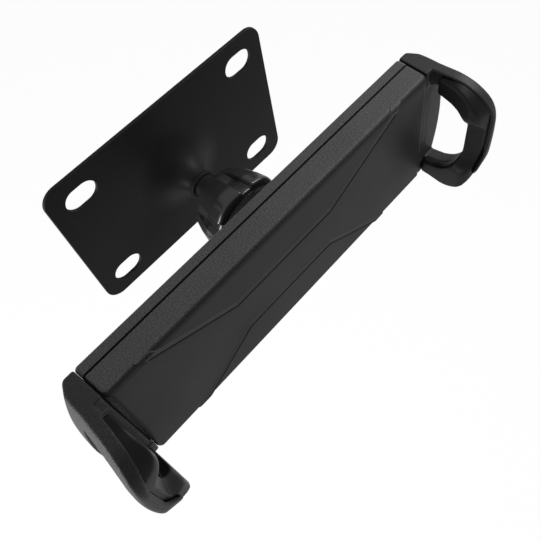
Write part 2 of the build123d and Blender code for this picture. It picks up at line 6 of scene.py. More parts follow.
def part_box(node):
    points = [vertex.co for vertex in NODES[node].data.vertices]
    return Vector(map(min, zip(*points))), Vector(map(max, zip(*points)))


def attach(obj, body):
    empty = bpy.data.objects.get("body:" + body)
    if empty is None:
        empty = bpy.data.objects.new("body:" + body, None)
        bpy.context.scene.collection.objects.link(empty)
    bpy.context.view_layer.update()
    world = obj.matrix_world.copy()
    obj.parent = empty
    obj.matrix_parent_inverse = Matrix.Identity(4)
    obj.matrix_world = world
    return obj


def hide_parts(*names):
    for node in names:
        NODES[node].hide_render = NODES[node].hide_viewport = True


bl_info = {
    "name": "Tablet wall mount",
    "version": (1, 0, 0),
    "blender": (4, 5, 0),
    "location": "View3D > Sidebar > Wall Mount",
    "description": "Dresses a tablet wall mount: plate, ball joint, sprung holder and claws",
    "category": "Object",
}

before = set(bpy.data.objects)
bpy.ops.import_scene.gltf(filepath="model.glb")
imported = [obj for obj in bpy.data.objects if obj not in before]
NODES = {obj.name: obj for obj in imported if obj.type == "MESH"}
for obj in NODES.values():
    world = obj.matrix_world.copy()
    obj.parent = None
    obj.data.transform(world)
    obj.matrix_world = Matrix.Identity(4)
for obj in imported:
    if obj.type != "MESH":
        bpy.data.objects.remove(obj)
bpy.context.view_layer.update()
MM = 0.001
HOLDER_ENDS = (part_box("front_cover")[0].x / MM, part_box("front_cover")[1].x / MM)

# The moulded pieces are made in millimetres. "Out" is the distance outwards from the holder's
# end, "reach" the one from the wall, and "height" the one above the holder's middle. Each
# table gives its second measure for its first, and is eased over the length named with it.
MARGIN = 1.0                        # room round a form in the box that is searched for its skin

# Claw shells
CLAW_BACK = 49.2                    # reach of the rear edge
CLAW_SEAT = 61.8                    # reach of the base's front, where the liner's seat starts
CLAW_FRONT = 86.0                   # reach of the front edge
CLAW_HALF = 29.0                    # half of the height
CLAW_DEPTH = 15.0                   # out of the outer side where it is fullest
CLAW_BULGE = 5.4                    # how far that side falls back at its top and bottom
CLAW_GAP = 0.06                     # clearance to the holder's end
CLAW_LOW = (-0.6, CLAW_BACK - MARGIN, -CLAW_HALF - MARGIN)      # out, reach and height of the
CLAW_HIGH = (CLAW_DEPTH + MARGIN, CLAW_FRONT + MARGIN, CLAW_HALF + MARGIN)  # box searched
UPPER_CORNER = (0.42, 0.53)         # radius at the inner and at the outer side, as a share of
LOWER_CORNER = (0.4, 0.66)          # the depth from the rear edge to the front one
OUTER_SIDE = (                      # reach, out
    (48.0, 8.7), (49.2, 9.5), (53.4, 12.1), (57.0, 12.6), (62.0, 12.9), (69.4, 13.9),
    (76.0, 14.6), (82.5, 15.0), (84.6, 14.7), (86.0, 13.6), (87.0, 12.6))
OUTER_EASE, OUTER_SLANT = 1.2, 0.93     # the slant is the cosine of the side's usual lean
RIM = (                             # reach, out: the shell's edge round the liner
    (61.0, 3.2), (63.0, 3.4), (66.0, 3.8), (70.0, 4.3), (74.0, 5.0), (78.0, 5.9), (81.6, 7.3),
    (84.0, 8.8), (85.3, 10.2), (86.0, 11.2), (87.0, 12.0))
RIM_EASE = 0.8
LIP = (                             # height, out: how the rim turns inwards at its low front
    (-40.0, 8.4), (-22.0, 7.4), (-18.5, 5.9), (-15.0, 5.1), (-12.0, 6.0), (-9.5, 7.8),
    (-7.0, 9.4), (-3.0, 10.6), (2.0, 11.0), (40.0, 11.2))
LIP_EASE = 3.0
LIP_REACH = (81.5, 84.5)            # where the lip starts and is full
LIP_HEIGHTS = (-20.0, -8.0)         # where its extra rounding is full and ends
SEAT_DEPTH = 1.3                    # how far out behind the rim the liner sits
SEAT_WALL = (0.7, 1.5)              # distance from the outline where the seat starts and is full
SEAT_RUN = 1.5                      # reach over which it starts in front of the base
SCREW_OUT, SCREW_HEIGHT = 3.7, 12.0     # place of the recess of a screw's head
SCREW_RADIUS, SCREW_FLOOR = 2.5, 50.6   # its radius, and the reach of its floor
WINDOW_EDGE = (                     # reach, half height
    (60.0, 20.6), (64.0, 20.5), (67.7, 20.2), (71.8, 19.2), (75.0, 17.6), (77.8, 15.6),
    (80.0, 13.5))
WINDOW_EASE = 1.5
WINDOW_FRONT = 77.7                 # reach of the window's front edge
WINDOW_CORNERS = (4.5, 11.0)        # rounding of its upper and lower front corners
WINDOW_CLEARANCE = 0.3              # how much wider it is in the shell than in the liner

# Rubber liners
LINER_START, LINER_LOW_START = 65.6, 62.1   # reach of the rear edge, above and below
LINER_BACK = 1.5                    # how far out behind the rim the liner goes
LINER_NOSE = (                      # reach, out
    (60.0, 1.4), (80.0, 1.4), (82.0, 2.3), (83.2, 4.1), (83.8, 5.6), (84.2, 7.6), (84.6, 10.0),
    (86.0, 18.0))
NOSE_EASE = 0.6
HOLLOW_RIM, HOLLOW_FLOOR = 1.0, 5.3     # out of the inner face, beside and in the hollow
HOLLOW_START, HOLLOW_RISE = 76.0, 0.36  # the floor's slope in front of this reach
HOLLOW_ENDS = (7.5, 17.0)           # height where the hollow is full and where it ends
REAR_INSET, REAR_RUN = 0.7, 9.0     # how the liner narrows towards its rear edge
LIP_INSET = 0.12                    # distance to the outline at the lip
SIDE_INSET, SIDE_SLANT = 0.5, 0.26  # what is added to it above the lip
INSET_HEIGHTS = (-20.0, -9.0)       # where that starts and is full

# Widths of the rounded edges. The tip's is added to the rim's at the tip of the lip.
SHELL_EDGE, OUTER_EDGE, BASE_EDGE, RIM_EDGE, TIP_EDGE = 0.8, 1.0, 0.6, 0.5, 2.6
LINER_EDGE, LINER_BACK_EDGE, LINER_START_EDGE, NOSE_EDGE = 0.9, 0.3, 1.0, 2.2
NUT_FRONT_EDGE, NUT_REAR_EDGE, NUT_BORE_EDGE = 1.5, 0.8, 0.6

# Grip nut, by reach, radius and degrees from the middle of a flute
NUT_REAR, NUT_FRONT = 19.2, 36.9
NUT_SPAN, NUT_CELL = 18.0, 0.3          # half the width searched, and the cell of its skin
NUT_SIDE = (                        # reach, radius
    (18.0, 7.9), (19.2, 9.2), (20.6, 11.0), (22.6, 12.3), (26.6, 14.0), (31.0, 15.3),
    (35.2, 16.1), (38.0, 16.5))
NUT_EASE, NUT_SLANT = 1.0, 0.9
NUT_BORE = ((21.4, 8.0), (21.5, 10.1), (28.7, 11.2), (40.0, 11.2))      # reach, radius
NUT_LOBES, FLUTE_ANGLE = 5, 80.0
FLUTE_DEPTH = 1.9
FLUTE_SIDES = (7.0, 11.0)           # degrees where a flute is full and where it ends
FLUTE_RUN = (20.5, 29.0)            # reach where it starts and is full
LOBE_DROP, LOBE_CROWN = 0.3, 0.8    # a lobe's fall at its sides, and its rise from there
LOBE_SPAN = (11.0, 36.0)            # degrees where that rise starts and is full

# Making of the skins
EASE_STEP = 0.05                    # spacing of an eased table
SMOOTH_FACTOR, SMOOTH_ROUNDS = 0.5, 2

# Shader detail. A scale is per metre, and a range is the part of the noise that is used.
GRAIN_ROUNDNESS, GRAIN_DETAIL, GRAIN_RANGE = 0.4, 3.0, (0.35, 0.65)
PATINA_SCALE, PATINA_DETAIL, PATINA_RANGE = 38.0, 5.0, (0.3, 0.7)
PATINA_SPREAD = 0.04
COAT_ROUGHNESS = 0.8                # of the clear coat, as a share of the surface's own

# Front cover, in millimetres: depth of the painted light on the relief's sides and of the painted
# shadow line at their crest, and how far the middle of the seam's painted shade lies behind the
# cover
RELIEF_RISE, RELIEF_PAINTED_SHADOW_DEPTH, SEAM_SHIFT = 0.5, 0.16, 0.2

# Painted shade, light and highlights that are blended in, as shares of a material's colour
SEAM_PAINTED_SHADE, FRONT_EDGE_PAINTED_SHADE, REAR_EDGE_PAINTED_HIGHLIGHT, RELIEF_PAINTED_LIGHT = 0.1, 0.22, 2.5, 2.0
SHELL_EDGE_PAINTED_SHADE, CHEEK_PAINTED_LIGHT = 0.45, 3.5

# Stage and camera, in metres, watts and pixels of the photograph's size
WHITE = (1, 1, 1, 1)
SKY_STRENGTH, FLOOR_SIZE, FLOOR_ROUGHNESS = 0.22, 12.0, 0.9
SKY_WHITE, FLOOR_WHITE = 1.0, 0.95      # how much of them is plain white to the camera
LAMPS = (                               # name, place, target, side and power
    ("key", (0.3, -0.155, 0.26), (0.05, -0.05, 0), 0.24, 2.3),
    ("side", (-0.75, 0.12, -0.05), (-0.09, -0.06, 0), 0.4, 10.0),
)
CAMERA_PLACE = (-0.07753, -0.15643, 0.20841)
CAMERA_LOOK, CAMERA_UP = (0.3362, 0.3086, -0.8898), (0.6959, 0.5552, 0.4555)
CAMERA_NEAR, CAMERA_FAR, SENSOR_WIDTH = 0.01, 50.0, 36.0    # the sensor in millimetres
IMAGE_SIZE, FOCAL_LENGTH = 540, 678.628
OPTICAL_CENTRE = (350.94, 286.94)


# Sizes and colours

class WallMountSizes(bpy.types.PropertyGroup):
    """Sizes of the detail that the looks add to the solids."""

    grain: bpy.props.FloatProperty(
        name="Grain", description="Spacing of the moulded grain on the covers and the claw shells",
        default=0.5 * MM, min=0.1 * MM, max=3 * MM, unit="LENGTH", precision=5)
    coat_grain: bpy.props.FloatProperty(
        name="Coat grain", description="Spacing of the powder coat's texture on the plate",
        default=0.35 * MM, min=0.1 * MM, max=3 * MM, unit="LENGTH", precision=5)
    softening: bpy.props.FloatProperty(
        name="Softening", description="Cell size used to round the moulded claws and liners",
        default=0.38 * MM, min=0.2 * MM, max=2 * MM, unit="LENGTH", precision=5)
    # Width of the seam's band of painted shade, in the groove where the covers meet
    seam_shadow: bpy.props.FloatProperty(
        name="Seam line", description="Width of the dark joint between the two covers",
        default=0.8 * MM, min=0.1 * MM, max=3 * MM, unit="LENGTH", precision=5)
    floor_drop: bpy.props.FloatProperty(
        name="Floor drop", description="How far the floor lies below the mount's middle",
        default=0.42, min=0.1, max=2.0, unit="LENGTH")


class WallMountColours(bpy.types.PropertyGroup):
    """Colours of the mount's finishes, as they look under plain light."""

    moulded: bpy.props.FloatVectorProperty(
        name="Grained plastic", description="Colour of the covers' grained sides and the arms",
        default=(0.05, 0.05, 0.0515), size=3, min=0, max=1, subtype="COLOR")
    satin: bpy.props.FloatVectorProperty(
        name="Satin face", description="Colour of the front cover's smooth face",
        default=(0.021, 0.021, 0.0215), size=3, min=0, max=1, subtype="COLOR")
    shell: bpy.props.FloatVectorProperty(
        name="Claw plastic", description="Colour of the claw shells",
        default=(0.02, 0.02, 0.0206), size=3, min=0, max=1, subtype="COLOR")
    rubber: bpy.props.FloatVectorProperty(
        name="Rubber", description="Colour of the claws' liners",
        default=(0.003, 0.003, 0.0031), size=3, min=0, max=1, subtype="COLOR")
    coat: bpy.props.FloatVectorProperty(
        name="Powder coat", description="Colour of the plate and its stud",
        default=(0.009, 0.009, 0.0093), size=3, min=0, max=1, subtype="COLOR")
    gloss: bpy.props.FloatVectorProperty(
        name="Gloss plastic", description="Colour of the grip nut and the socket boss",
        default=(0.015, 0.015, 0.0155), size=3, min=0, max=1, subtype="COLOR")
    nylon: bpy.props.FloatVectorProperty(
        name="Nylon", description="Colour of the seats and the pinion",
        default=(0.7, 0.68, 0.62), size=3, min=0, max=1, subtype="COLOR")
    zinc: bpy.props.FloatVectorProperty(
        name="Zinc", description="Colour of the screws, their washer and the springs",
        default=(0.42, 0.42, 0.43), size=3, min=0, max=1, subtype="COLOR")
    backdrop: bpy.props.FloatVectorProperty(
        name="Backdrop", description="Colour of the floor",
        default=(0.97, 0.97, 0.97), size=3, min=0, max=1, subtype="COLOR")


def sizes():
    return bpy.context.scene.wall_mount_sizes


def colours():
    return bpy.context.scene.wall_mount_colours


def shaded(colour, share):
    """A darker or lighter shade of a colour."""
    return [share * part for part in colour]


# Shader parts

def math_node(tree, operation, *values):
    """The result of a math node on sockets and plain numbers."""
    node = tree.nodes.new("ShaderNodeMath")
    node.operation = operation
    for socket, value in zip(node.inputs, values):
        if isinstance(value, bpy.types.NodeSocket):
            tree.links.new(value, socket)
        else:
            socket.default_value = value
    return node.outputs[0]


def map_range(tree, value, source, target=(0.0, 1.0), smooth=False):
    """A number carried from one range to another, and held within it."""
    node = tree.nodes.new("ShaderNodeMapRange")
    if smooth:
        node.interpolation_type = "SMOOTHSTEP"
    for label, number in zip(("From Min", "From Max", "To Min", "To Max"), (*source, *target)):
        node.inputs[label].default_value = number
    tree.links.new(value, node.inputs["Value"])
    return node.outputs["Result"]


def scaled(tree, colour, factor):
    """A colour multiplied by a factor."""
    node = tree.nodes.new("ShaderNodeVectorMath")
    node.operation = "SCALE"
    tree.links.new(colour, node.inputs[0])
    tree.links.new(factor, node.inputs["Scale"])
    return node.outputs["Vector"]


def along(tree, coordinate):
    """The X, Y and Z of a point's place ("Object") or of the way it faces ("Normal")."""
    where = tree.nodes.new("ShaderNodeTexCoord")
    split = tree.nodes.new("ShaderNodeSeparateXYZ")
    tree.links.new(where.outputs[coordinate], split.inputs[0])
    return split.outputs


# Shared shader groups

def new_group(name, inputs, outputs):
    """A shader group with float or colour sockets."""
    group = bpy.data.node_groups.new(name, "ShaderNodeTree")
    for label, kind, value in inputs:
        socket = group.interface.new_socket(label, in_out="INPUT", socket_type=kind)
        socket.default_value = value
    for label, kind in outputs:
        group.interface.new_socket(label, in_out="OUTPUT", socket_type=kind)
    return group, group.nodes.new("NodeGroupInput"), group.nodes.new("NodeGroupOutput")


def make_grain_group():
    """Fine grain of a spark-eroded mould: its height, and the speckle that it gives the colour."""
    group, start, end = new_group(
        "Moulded Grain",
        [("Spacing", "NodeSocketFloat", 0.5 * MM),
         ("Roundness", "NodeSocketFloat", GRAIN_ROUNDNESS)],
        [("Height", "NodeSocketFloat"), ("Speckle", "NodeSocketFloat")])
    where = group.nodes.new("ShaderNodeTexCoord")
    scale = math_node(group, "DIVIDE", 1.0, start.outputs["Spacing"])
    cells = group.nodes.new("ShaderNodeTexVoronoi")
    cells.feature = "SMOOTH_F1"
    group.links.new(start.outputs["Roundness"], cells.inputs["Smoothness"])
    noise = group.nodes.new("ShaderNodeTexNoise")
    noise.inputs["Detail"].default_value = GRAIN_DETAIL
    for texture in (cells, noise):
        group.links.new(where.outputs["Object"], texture.inputs["Vector"])
        group.links.new(scale, texture.inputs["Scale"])
    height = math_node(group, "ADD", cells.outputs["Distance"], noise.outputs["Fac"])
    speckle = map_range(group, noise.outputs["Fac"], GRAIN_RANGE, (-1.0, 1.0))
    group.links.new(height, end.inputs["Height"])
    group.links.new(speckle, end.inputs["Speckle"])
    return group


def make_patina_group():
    """Large, soft changes of a surface's shade and gloss."""
    group, start, end = new_group(
        "Handling Patina",
        [("Colour", "NodeSocketColor", (0.02, 0.02, 0.02, 1)),
         ("Variation", "NodeSocketFloat", 0.1), ("Roughness", "NodeSocketFloat", 0.5),
         ("Spread", "NodeSocketFloat", PATINA_SPREAD)],
        [("Colour", "NodeSocketColor"), ("Roughness", "NodeSocketFloat")])
    where = group.nodes.new("ShaderNodeTexCoord")
    broad = group.nodes.new("ShaderNodeTexNoise")
    broad.inputs["Scale"].default_value = PATINA_SCALE
    broad.inputs["Detail"].default_value = PATINA_DETAIL
    group.links.new(where.outputs["Object"], broad.inputs["Vector"])
    change = map_range(group, broad.outputs["Fac"], PATINA_RANGE, (-1.0, 1.0))
    shade = math_node(group, "MULTIPLY_ADD", change, start.outputs["Variation"], 1.0)
    rough = math_node(
        group, "MULTIPLY_ADD", change, start.outputs["Spread"], start.outputs["Roughness"])
    group.links.new(scaled(group, start.outputs["Colour"], shade), end.inputs["Colour"])
    group.links.new(rough, end.inputs["Roughness"])
    return group


GROUP_MAKERS = {"Moulded Grain": make_grain_group, "Handling Patina": make_patina_group}


def add_group(material, name, values):
    """Adds a shared group, which is made at its first use, to a material."""
    node = material.node_tree.nodes.new("ShaderNodeGroup")
    node.node_tree = bpy.data.node_groups.get(name) or GROUP_MAKERS[name]()
    for label, value in values.items():
        node.inputs[label].default_value = value
    return node.outputs


# Materials

def new_material(name, colour, roughness, variation=0.08, metallic=0.0, specular=0.5, gloss=0.0):
    """A surface with the shared patina on its colour and gloss."""
    material = bpy.data.materials.new(name)
    material.use_nodes = True
    shader = material.node_tree.nodes["Principled BSDF"]
    shader.inputs["Metallic"].default_value = metallic
    shader.inputs["Specular IOR Level"].default_value = specular
    shader.inputs["Coat Weight"].default_value = gloss
    shader.inputs["Coat Roughness"].default_value = roughness * COAT_ROUGHNESS
    patina = add_group(material, "Handling Patina", {
        "Colour": (*colour, 1.0), "Variation": variation, "Roughness": roughness,
        "Spread": PATINA_SPREAD})
    material.node_tree.links.new(patina["Colour"], shader.inputs["Base Color"])
    material.node_tree.links.new(patina["Roughness"], shader.inputs["Roughness"])
    return material


def add_grain(material, spacing, depth, mask=None, contrast=0.3):
    """Adds the moulded grain as a bump and a speckle, where the mask is white."""
    tree = material.node_tree
    grain = add_group(material, "Moulded Grain", {"Spacing": spacing})
    height, speckle = grain["Height"], grain["Speckle"]
    if mask:
        height = math_node(tree, "MULTIPLY", height, mask)
        speckle = math_node(tree, "MULTIPLY", speckle, mask)
    bump = tree.nodes.new("ShaderNodeBump")
    bump.inputs["Distance"].default_value = depth
    shader = tree.nodes["Principled BSDF"]
    tree.links.new(height, bump.inputs["Height"])
    tree.links.new(bump.outputs["Normal"], shader.inputs["Normal"])
    base = shader.inputs["Base Color"]
    shade = math_node(tree, "MULTIPLY_ADD", speckle, contrast, 1.0)
    tree.links.new(scaled(tree, base.links[0].from_socket, shade), base)


def tint(material, mask, colour):
    """Blends a colour over the material's own where the mask is white."""
    tree = material.node_tree
    base = tree.nodes["Principled BSDF"].inputs["Base Color"]
    mix = tree.nodes.new("ShaderNodeMix")
    mix.data_type = "RGBA"
    tree.links.new(mask, mix.inputs["Factor"])
    tree.links.new(base.links[0].from_socket, mix.inputs["A"])
    mix.inputs["B"].default_value = (*colour, 1.0)
    tree.links.new(mix.outputs["Result"], base)


def inverse(material, mask):
    """The mask with black and white exchanged."""
    return math_node(material.node_tree, "SUBTRACT", 1.0, mask)


def cheek_mask(material, start, full):
    """White where a surface faces along the holder, to the left or the right."""
    tree = material.node_tree
    cheek = math_node(tree, "ABSOLUTE", along(tree, "Normal")["X"])
    return map_range(tree, cheek, (start, full), smooth=True)


def face_mask(material, start, full):
    """White where a surface faces away from the wall."""
    tree = material.node_tree
    return map_range(tree, along(tree, "Normal")["Y"], (-start, -full))


def edge_mask(material, sharp, flat):
    """White on rounded edges, where a surface faces between the main directions."""
    tree = material.node_tree
    facing = along(tree, "Normal")
    x, y, z = (math_node(tree, "ABSOLUTE", facing[axis]) for axis in "XYZ")
    largest = math_node(tree, "MAXIMUM", math_node(tree, "MAXIMUM", x, y), z)
    return map_range(tree, largest, (sharp, flat), (1.0, 0.0), smooth=True)


def seam_mask(material, y, width):
    """White in a band of the given width about one distance from the wall."""
    tree = material.node_tree
    return math_node(tree, "COMPARE", along(tree, "Object")["Y"], y, width / 2)


def relief_mask(material, y, face):
    """White in front of one distance from the wall, but for what lies flat in the face."""
    tree = material.node_tree
    proud = math_node(tree, "LESS_THAN", along(tree, "Object")["Y"], y)
    return math_node(tree, "MULTIPLY", proud, inverse(material, face))


def finish_piece(piece, body, slot, material, *nodes):
    """Gives a piece its finish, hangs it on its body, hides the nodes that it stands for and shades
    it smooth.
    """
    piece.data.materials.clear()
    piece.data.materials.append(material)
    piece.data.shade_smooth()
    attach(piece, body)
    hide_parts(*nodes)


def dress(material, *nodes):
    """Gives CAD nodes their finish."""
    for node in nodes:
        mesh = NODES[node].data
        mesh.materials.clear()
        mesh.materials.append(material)


# Forms: functions of a point that are below zero inside a piece, about as far as to its skin

def eased(points, reach):
    """A smooth curve near the given points: a table that is averaged over a reach."""
    where = np.arange(points[0][0], points[-1][0], EASE_STEP)
    level = np.interp(where, *zip(*points))
    count = max(1, int(reach / EASE_STEP))
    padded = np.concatenate([np.full(count, level[0]), level, np.full(count, level[-1])])
    window = np.hanning(2 * count + 1)
    soft = np.convolve(padded, window / window.sum(), mode="same")[count:-count]
    return lambda at: np.interp(at, where, soft)


def both(first, second, rounding):
    """Where two forms meet, with their common edge rounded."""
    near = np.maximum(rounding - np.abs(first - second), 0.0) / rounding
    return np.maximum(first, second) + near * near * rounding / 4


def step(low, high, value):
    """Rises smoothly from 0 to 1 between two values."""
    part = np.clip((value - low) / (high - low), 0.0, 1.0)
    return part * part * (3.0 - 2.0 * part)


def surface(form, low, high, cell):
    """The skin of a form: a point in each cell that it crosses, and a face at each crossed edge."""
    axes = [np.arange(a, b + cell, cell) for a, b in zip(low, high)]
    level = form(*np.meshgrid(*axes, indexing="ij"))
    inside = level < 0

    # Each point is the mean of the places where the skin crosses its cell's twelve edges
    shape = tuple(n - 1 for n in level.shape)
    total, count = np.zeros(shape + (3,)), np.zeros(shape)
    for axis in range(3):
        others = [other for other in range(3) if other != axis]
        for shift in ((0, 0), (0, 1), (1, 0), (1, 1)):
            near = [slice(0, -1)] * 3
            for other, by in zip(others, shift):
                near[other] = slice(by, by - 1 or None)
            far = list(near)
            far[axis] = slice(1, None)
            a, b = level[tuple(near)], level[tuple(far)]
            crossed = inside[tuple(near)] != inside[tuple(far)]
            part = np.where(crossed, a / np.where(crossed, a - b, 1.0), 0.0)
            total[..., axis] += np.where(crossed, part, 0.0)
            for other, by in zip(others, shift):
                total[..., other] += np.where(crossed, by, 0.0)
            count += crossed
    used = count > 0
    number = np.full(shape, -1)
    number[used] = np.arange(used.sum())
    cells = np.argwhere(used)
    points = (cells + total[used] / count[used][:, None]) * cell + np.array(low)

    # Each face joins the points of the four cells round a crossed edge
    faces = []
    for axis in range(3):
        before = [slice(1, -1)] * 3
        before[axis] = slice(0, -1)
        after = [slice(1, -1)] * 3
        after[axis] = slice(1, None)
        a, b = inside[tuple(before)], inside[tuple(after)]
        one, two = [other for other in range(3) if other != axis]
        for outwards, keep in ((True, a & ~b), (False, b & ~a)):
            spots = np.argwhere(keep)
            corners = []
            for by_one, by_two in ((0, 0), (1, 0), (1, 1), (0, 1)):
                at = spots.copy()
                at[:, one] += by_one
                at[:, two] += by_two
                corners.append(number[tuple(at.T)])
            if outwards == (axis == 1):
                corners.reverse()
            faces.append(np.stack(corners, axis=1))
    return points, np.concatenate(faces)


def skin_piece(name, points, faces):
    """A smoothed piece from points in millimetres and faces."""
    mesh = bpy.data.meshes.new(name)
    mesh.from_pydata((points * MM).tolist(), [], faces.tolist())
    mesh.update()
    piece = bpy.data.objects.new(name, mesh)
    bpy.context.scene.collection.objects.link(piece)
    rounding = piece.modifiers.new("rounding", "SMOOTH")
    rounding.factor = SMOOTH_FACTOR
    rounding.iterations = SMOOTH_ROUNDS
    graph = bpy.context.evaluated_depsgraph_get()
    rounded = bpy.data.meshes.new_from_object(piece.evaluated_get(graph))
    rounded.name = name
    piece.modifiers.clear()
    piece.data = rounded
    return piece


def claw_outline(out, reach, height):
    """The claw's D outline, seen along the holder, with a larger corner below."""
    inside, outside = (
        np.where(height > 0, upper, lower) for upper, lower in zip(UPPER_CORNER, LOWER_CORNER))
    radius = (CLAW_FRONT - CLAW_BACK) * (inside + (outside - inside) * out / CLAW_DEPTH)
    forward = reach - (CLAW_FRONT - radius)
    across = np.abs(height) - (CLAW_HALF - radius)
    round_part = np.hypot(np.maximum(forward, 0), np.maximum(across, 0))
    flat_part = np.minimum(np.maximum(forward, across), 0)
    return both(round_part + flat_part - radius, CLAW_BACK - reach, SHELL_EDGE)


def claw_window(reach, height):
    """The finger window, seen along the holder."""
    side = np.abs(height) - eased(WINDOW_EDGE, WINDOW_EASE)(reach)
    opening = both(reach - WINDOW_FRONT, side, np.where(height > 0, *WINDOW_CORNERS))
    return both(opening, CLAW_SEAT - reach, SHELL_EDGE)


def claw_rim(reach, height):
    """How far out the shell's inner rim lies, with the lip on its lower front."""
    rim = eased(RIM, RIM_EASE)(reach)
    lip = eased(LIP, LIP_EASE)(height)
    return rim - np.maximum(rim - lip, 0.0) * step(*LIP_REACH, reach)


def claw_shell(out, reach, height):
    """The hard shell: base, loop, barrelled outer side, window and screw recesses."""
    outline = claw_outline(out, reach, height)
    side = eased(OUTER_SIDE, OUTER_EASE)(reach) - CLAW_BULGE * (height / CLAW_HALF) ** 2
    body = both(outline, (out - side) * OUTER_SLANT, OUTER_EDGE)
    ledge = SEAT_DEPTH * step(*SEAT_WALL, -outline) * step(CLAW_SEAT, CLAW_SEAT + SEAT_RUN, reach)
    seat = claw_rim(reach, height) + ledge
    base = both(reach - CLAW_SEAT, CLAW_GAP - out, BASE_EDGE)
    tip = step(*LIP_REACH, reach) * (1.0 - step(*LIP_HEIGHTS, height))
    body = both(body, np.minimum(base, seat - out), RIM_EDGE + TIP_EDGE * tip)
    body = both(body, WINDOW_CLEARANCE - claw_window(reach, height), SHELL_EDGE)
    recess = np.hypot(out - SCREW_OUT, np.abs(height) - SCREW_HEIGHT) - SCREW_RADIUS
    return np.maximum(body, -np.maximum(recess, reach - SCREW_FLOOR))


def claw_liner(out, reach, height):
    """The rubber liner: flat cheeks, a nose at the front and a hollow in the front bar."""
    rim = claw_rim(reach, height)
    nose = eased(LINER_NOSE, NOSE_EASE)(reach)
    floor = HOLLOW_FLOOR + HOLLOW_RISE * np.maximum(reach - HOLLOW_START, 0.0)
    hollow = HOLLOW_RIM + (floor - HOLLOW_RIM) * (1.0 - step(*HOLLOW_ENDS, np.abs(height)))
    body = both(both(nose, hollow, NOSE_EDGE) - out, out - rim - LINER_BACK, LINER_BACK_EDGE)
    rear = REAR_INSET * (1.0 - step(LINER_START, LINER_START + REAR_RUN, reach))
    slant = SIDE_INSET + SIDE_SLANT * np.maximum(rim - out, 0.0)
    inset = LIP_INSET + step(*INSET_HEIGHTS, height) * slant
    body = both(body, claw_outline(out, reach, height) + inset + rear, LINER_EDGE)
    start = np.where(height > 0, LINER_START, LINER_LOW_START)
    body = both(body, start - reach, LINER_START_EDGE)
    return both(body, -claw_window(reach, height), LINER_EDGE)


def claw_piece(name, form, side):
    """One claw piece for the left (-1) or right (1) end of the holder."""
    points, faces = surface(form, CLAW_LOW, CLAW_HIGH, sizes().softening / MM)
    end = HOLDER_ENDS[0] if side < 0 else HOLDER_ENDS[1]
    points = np.stack([end + side * points[:, 0], -points[:, 1], points[:, 2]], axis=1)
    if side > 0:
        faces = faces[:, ::-1]
    return skin_piece(name, points, faces)


def grip_nut(x, reach, z):
    """The grip nut: a domed ring with broad lobes between rounded flutes."""
    radius = np.hypot(x, z)
    turn = np.degrees(np.arctan2(z, x)) - FLUTE_ANGLE
    pitch = 360.0 / NUT_LOBES
    off = np.abs((turn + pitch / 2) % pitch - pitch / 2)
    flute = FLUTE_DEPTH * (1.0 - step(*FLUTE_SIDES, off)) * step(*FLUTE_RUN, reach)
    crown = LOBE_CROWN * step(*LOBE_SPAN, off)
    side = eased(NUT_SIDE, NUT_EASE)(reach) - LOBE_DROP + crown - flute
    body = both((radius - side) * NUT_SLANT, reach - NUT_FRONT, NUT_FRONT_EDGE)
    body = both(body, NUT_REAR - reach, NUT_REAR_EDGE)
    return both(body, np.interp(reach, *zip(*NUT_BORE)) - radius, NUT_BORE_EDGE)


# Pieces

class OBJECT_OT_mount_plate(bpy.types.Operator):
    """Powder-coated plate and the ball stud that it carries"""

    bl_idname = "wall_mount.plate"
    bl_label = "Plate and Stud"

    def execute(self, context):
        coat = new_material(
            "Powder Coat", colours().coat, roughness=0.5, variation=0.06, specular=0.05, gloss=0.02)
        add_grain(coat, sizes().coat_grain, depth=0.03 * MM, contrast=0.1)
        dress(coat, "wall_plate", "ball_stud")
        return {"FINISHED"}


class OBJECT_OT_mount_joint(bpy.types.Operator):
    """Grip nut, socket boss and nylon seats of the ball joint, and the pinion"""

    bl_idname = "wall_mount.joint"
    bl_label = "Ball Joint"

    def execute(self, context):
        gloss = new_material(
            "Gloss Plastic", colours().gloss, roughness=0.24, variation=0.05, specular=0.2,
            gloss=0.2)
        low = (-NUT_SPAN, NUT_REAR - MARGIN, -NUT_SPAN)
        high = (NUT_SPAN, NUT_FRONT + MARGIN, NUT_SPAN)
        points, faces = surface(grip_nut, low, high, NUT_CELL)
        points[:, 1] *= -1
        nut = skin_piece("grip_nut", points, faces)
        finish_piece(nut, "collar", "collar", gloss, "collar_nut")
        dress(gloss, "socket_cup")
        nylon = new_material("Natural Nylon", colours().nylon, roughness=0.5)
        dress(nylon, "seat_cap", "seat_ring", "pinion")
        return {"FINISHED"}


def finish_front(material, dark):
    """Adds the front cover's satin face, painted shade on its edges and painted light and shadow on
    its relief, and returns the grain's mask.
    """
    face = face_mask(material, start=0.75, full=0.97)
    tint(material, face, colours().satin)
    # Painted shade: the cover's rounded edges are darkened
    edges = edge_mask(material, sharp=0.8, flat=0.97)
    tint(material, edges, shaded(colours().moulded, FRONT_EDGE_PAINTED_SHADE))
    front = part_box("front_cover")[0].y
    flat = face_mask(material, start=0.985, full=0.999)
    # Painted light: the relief's sloping sides are made lighter than the face
    sides = relief_mask(material, front + RELIEF_RISE * MM, flat)
    tint(material, sides, shaded(colours().satin, RELIEF_PAINTED_LIGHT))
    # Painted shadow: a thin dark line along the relief's crest
    crest = relief_mask(material, front + RELIEF_PAINTED_SHADOW_DEPTH * MM, flat)
    tint(material, crest, dark)
    return inverse(material, face)


